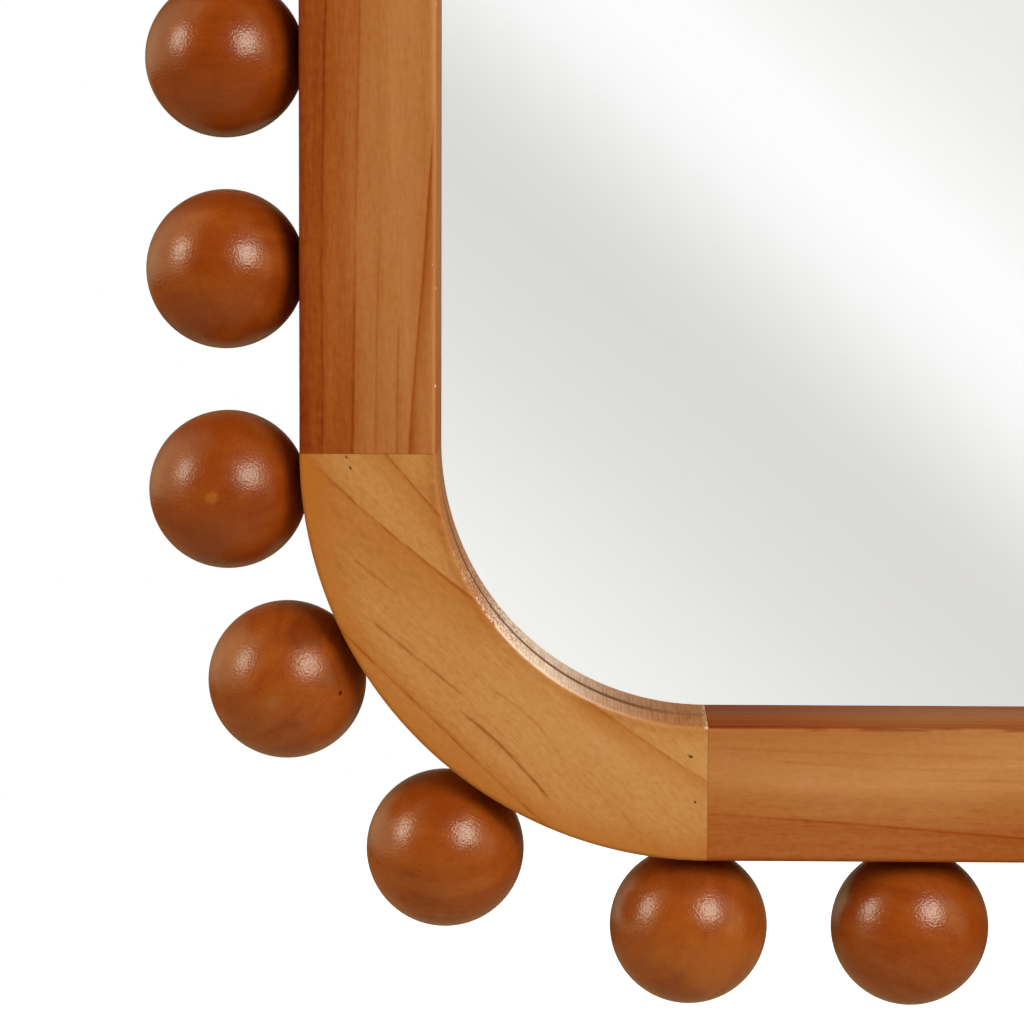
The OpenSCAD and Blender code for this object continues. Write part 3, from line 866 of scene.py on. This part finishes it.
class WALLMIRROR_OT_make_mirror(bpy.types.Operator):
    """Finishes the glass and makes its silvering, a thin sheet with round corners just inside it"""

    bl_idname = "wall_mirror.make_mirror"
    bl_label = "Mirror glass and silvering"

    def execute(self, context):
        look = context.scene.wall_mirror.mirror
        dress(glass_finish(look), "mirror_glass")
        bpy.ops.object.select_all(action="DESELECT")
        front = (0, GLASS_LOW.y + look.depth, 0)
        bpy.ops.mesh.primitive_plane_add(size=1, location=front, rotation=(math.pi / 2, 0, 0))
        sheet = context.object
        sheet.name = sheet.data.name = "mirror_silvering"
        sheet.dimensions = (2 * GLASS_HIGH.x - 2 * look.border, 2 * GLASS_HIGH.z - 2 * look.border, 0)
        bpy.ops.object.transform_apply(location=True, rotation=True, scale=True)
        bpy.ops.object.mode_set(mode="EDIT")
        bpy.ops.mesh.select_all(action="SELECT")
        rounding = CORNER_R - (HALF_W - GLASS_HIGH.x) - look.border
        bpy.ops.mesh.bevel(offset_type="OFFSET", offset=rounding, segments=24, affect="VERTICES")
        bpy.ops.mesh.extrude_region_move(TRANSFORM_OT_translate={"value": (0, look.coat, 0)})
        bpy.ops.mesh.select_all(action="SELECT")
        bpy.ops.mesh.normals_make_consistent(inside=False)
        bpy.ops.object.mode_set(mode="OBJECT")
        sheet.data.materials.append(silver_finish(look))
        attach(sheet, "mirror_frame")
        return {"FINISHED"}


class WALLMIRROR_OT_finish_back(bpy.types.Operator):
    """Finishes the back panel"""

    bl_idname = "wall_mirror.finish_back"
    bl_label = "Back panel"

    def execute(self, context):
        dress(panel_finish(context.scene.wall_mirror.back), "back_panel")
        return {"FINISHED"}


class WALLMIRROR_OT_finish_hardware(bpy.types.Operator):
    """Finishes the glazing points, the hangers and their screws"""

    bl_idname = "wall_mirror.finish_hardware"
    bl_label = "Hangers, screws and glazing points"

    def execute(self, context):
        back = context.scene.wall_mirror.back
        strap = metal_finish("zinc_strap", back, 0.34)
        dress(strap, "hanger_strap_left", "hanger_strap_right", "glazing_points")
        wire = metal_finish("zinc_wire", back, 0.22)
        dress(wire, "hanger_ring_left", "hanger_ring_right", "hanger_screws")
        return {"FINISHED"}


class WALLMIRROR_OT_finish_bumpers(bpy.types.Operator):
    """Finishes the rubber bumpers"""

    bl_idname = "wall_mirror.finish_bumpers"
    bl_label = "Bumpers"

    def execute(self, context):
        dress(rubber_finish(context.scene.wall_mirror.back), "wall_bumpers")
        return {"FINISHED"}


class WALLMIRROR_OT_set_studio(bpy.types.Operator):
    """Makes the camera, the floor, the white surroundings and the softboxes"""

    bl_idname = "wall_mirror.set_studio"
    bl_label = "Studio"

    def execute(self, context):
        scene = context.scene
        look = scene.wall_mirror.studio
        scene.view_settings.view_transform = "Standard"
        self.camera(scene, look)
        self.floor(context, look)
        self.surroundings(scene, look)
        self.lights(scene, look)
        return {"FINISHED"}

    def camera(self, scene, look):
        data = bpy.data.cameras.new("camera")
        data.lens = look.lens
        data.sensor_width = SENSOR_W
        camera = bpy.data.objects.new("camera", data)
        camera.location = (look.camera_x, look.camera_y, look.camera_z)
        camera.rotation_euler = (look.camera_pitch, look.camera_roll, look.camera_yaw)
        scene.collection.objects.link(camera)
        scene.camera = camera

    def lights(self, scene, look):
        # The way towards a light, its distance, width, height and power, and whether the balls mirror it
        for name, towards, distance, width, height, watts, mirrored in (
            ("key_softbox", (0.533, -0.733, 0.421), 1.7, 0.78, 0.78, look.key_power, True),
            ("side_softbox", (-0.868, -0.302, 0.395), 3.3, 0.95, 1.3, look.side_power, True),
            ("fill", (0.5, -0.75, 0.5), 2.8, 2.5, 2.5, look.fill_power, False),
            ("back_light", (0.1, 1.0, 0.3), 3.0, 3.0, 3.0, look.back_power, False),
        ):
            lamp = bpy.data.lights.new(name, "AREA")
            lamp.shape = "RECTANGLE"
            lamp.size = width
            lamp.size_y = height
            lamp.energy = watts
            box = bpy.data.objects.new(name, lamp)
            box.location = AIM + Vector(towards).normalized() * distance
            box.rotation_euler = (AIM - box.location).to_track_quat("-Z", "Y").to_euler()
            box.visible_camera = False
            box.visible_transmission = False
            box.visible_glossy = mirrored
            scene.collection.objects.link(box)

    def floor(self, context, look):
        bpy.ops.object.select_all(action="DESELECT")
        bpy.ops.mesh.primitive_plane_add(size=look.floor_size, location=(0, 0, -look.floor_drop))
        floor = context.object
        floor.name = floor.data.name = "floor"
        bpy.ops.object.transform_apply(location=True, rotation=True, scale=True)
        r = Recipe("pale_floor")
        path = r.add("LightPath").node.outputs
        # It glows to the camera, more so further out, and so runs into the white surroundings
        far = r.span(r.distance(r.where()), 1.6, 4.0, 0.5, 1.0)
        glow = r.calc("MULTIPLY", far, path["Is Camera Ray"])
        # Balls mirror it dim, as they would a floor far from the light
        dim = r.mix(path["Is Glossy Ray"], look.floor_shade, times(look.screen_tint, 0.3))
        own = r.add("BsdfDiffuse", {"Color": dim})
        lit = r.add("AddShader", {0: own, 1: r.add("Emission", {"Color": (1, 1, 1, 1), "Strength": glow})})
        # The mirror and a view from below look past the floor
        from_below = r.add("NewGeometry", out="Backfacing")
        past = r.calc("MAXIMUM", from_below, path["Is Transmission Ray"])
        r.add_output(r.add("MixShader", {0: past, 1: lit, 2: r.add("BsdfTransparent")}))
        floor.data.materials.append(r.material)

    def surroundings(self, scene, look):
        world = bpy.data.worlds.new("studio")
        world.use_nodes = True
        scene.world = world
        r = Recipe(tree=world.node_tree)
        x, y, z = r.parts(r.add("TexCoord"))
        wall = self.pale_wall(r, x, y, z)
        level = self.screens(r, look, x, y, z)
        path = r.add("LightPath").node.outputs
        shade = r.mix(path["Is Camera Ray"], look.screen_tint, (1, 1, 1))
        shade = r.mix(path["Is Transmission Ray"], shade, wall)
        level = r.blend(path["Is Camera Ray"], level, 1.0)
        level = r.blend(path["Is Transmission Ray"], level, look.mirrored)
        r.add_output(r.add("Background", {"Color": shade, "Strength": level}), "OutputWorld")

    def pale_wall(self, r, x, y, z):
        """What the mirror shows: a soft diagonal band of light on a pale wall in front of it."""
        ahead = r.calc("MAXIMUM", r.calc("MULTIPLY", y, -1), 0.02)
        slope_x = r.calc("DIVIDE", x, ahead)
        slope_z = r.calc("DIVIDE", z, ahead)
        over_band = r.calc("MULTIPLY_ADD", slope_z, BAND_LEAN, slope_x)
        stops = []
        for place, grey in BAND:
            blue = grey - CREAM if grey < CREAM_UNDER else grey
            stops.append((place, screen(grey, grey, blue)))
        return r.ramp(r.span(over_band, BAND_START, BAND_END, kind="LINEAR"), stops)

    def screens(self, r, look, x, y, z):
        """What lights the balls: wide soft screens at both sides, in degrees from straight ahead."""
        turned = r.calc("ARCTAN2", r.calc("MULTIPLY", x, -1), r.calc("MULTIPLY", y, -1))
        raised = r.calc("ARCSINE", z)
        level = r.span(y, -0.5, 0.6, look.front, look.backdrop)
        level = r.calc("ADD", level, r.span(y, 0.8, 1.0, 0, look.rim))
        tall = r.calc("MULTIPLY", r.span(raised, -0.5, 0.12), r.span(raised, 0.7, 1.4, 1, 0.35))
        # The far edge of the left screen leans in towards its top
        lean = r.calc("MULTIPLY", r.calc("MAXIMUM", raised, 0), look.lean)
        for side, glow, near_edge, far_edge in (
            (1, look.left_glow, (42, 72), (118, 168)),
            (-1, look.right_glow, (38, 70), (74, 126)),
        ):
            near_side = r.calc("MULTIPLY", turned, side)
            far_side = r.calc("ADD", near_side, lean) if side == 1 else near_side
            wide = r.calc(
                "MULTIPLY",
                r.span(near_side, *map(math.radians, near_edge)),
                r.span(far_side, *map(math.radians, far_edge), 1, 0),
            )
            level = r.weighed(level, (r.calc("MULTIPLY", wide, tall), glow))
        return level


OPERATORS = (
    WALLMIRROR_OT_set_studio,
    WALLMIRROR_OT_finish_bars,
    WALLMIRROR_OT_finish_corners,
    WALLMIRROR_OT_finish_balls,
    WALLMIRROR_OT_finish_dowels,
    WALLMIRROR_OT_make_mirror,
    WALLMIRROR_OT_finish_back,
    WALLMIRROR_OT_finish_hardware,
    WALLMIRROR_OT_finish_bumpers,
)


class WALLMIRROR_PT_looks(bpy.types.Panel):
    """The wall mirror's sizes, colours and steps"""

    bl_idname = "WALLMIRROR_PT_looks"
    bl_label = "Wall mirror"
    bl_space_type = "VIEW_3D"
    bl_region_type = "UI"
    bl_category = "Wall mirror"

    def draw(self, context):
        settings = context.scene.wall_mirror
        for name in ("wood", "ball", "mirror", "back", "studio"):
            box = self.layout.box()
            box.label(text=name.capitalize())
            group = getattr(settings, name)
            for key in group.__annotations__:
                box.prop(group, key)
        for operator in OPERATORS:
            self.layout.operator(operator.bl_idname)


LOOKS = (WoodLook, BallLook, MirrorLook, BackLook, StudioLook)
CLASSES = (*LOOKS, MirrorSettings, *OPERATORS, WALLMIRROR_PT_looks)


def register():
    for cls in CLASSES:
        bpy.utils.register_class(cls)
    bpy.types.Scene.wall_mirror = PointerProperty(type=MirrorSettings)


def unregister():
    del bpy.types.Scene.wall_mirror
    for cls in reversed(CLASSES):
        bpy.utils.unregister_class(cls)


def main():
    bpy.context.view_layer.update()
    register()
    bpy.ops.wall_mirror.set_studio()
    bpy.ops.wall_mirror.finish_bars()
    bpy.ops.wall_mirror.finish_corners()
    bpy.ops.wall_mirror.finish_balls()
    bpy.ops.wall_mirror.finish_dowels()
    bpy.ops.wall_mirror.make_mirror()
    bpy.ops.wall_mirror.finish_back()
    bpy.ops.wall_mirror.finish_hardware()
    bpy.ops.wall_mirror.finish_bumpers()


if __name__ == "__main__":
    main()
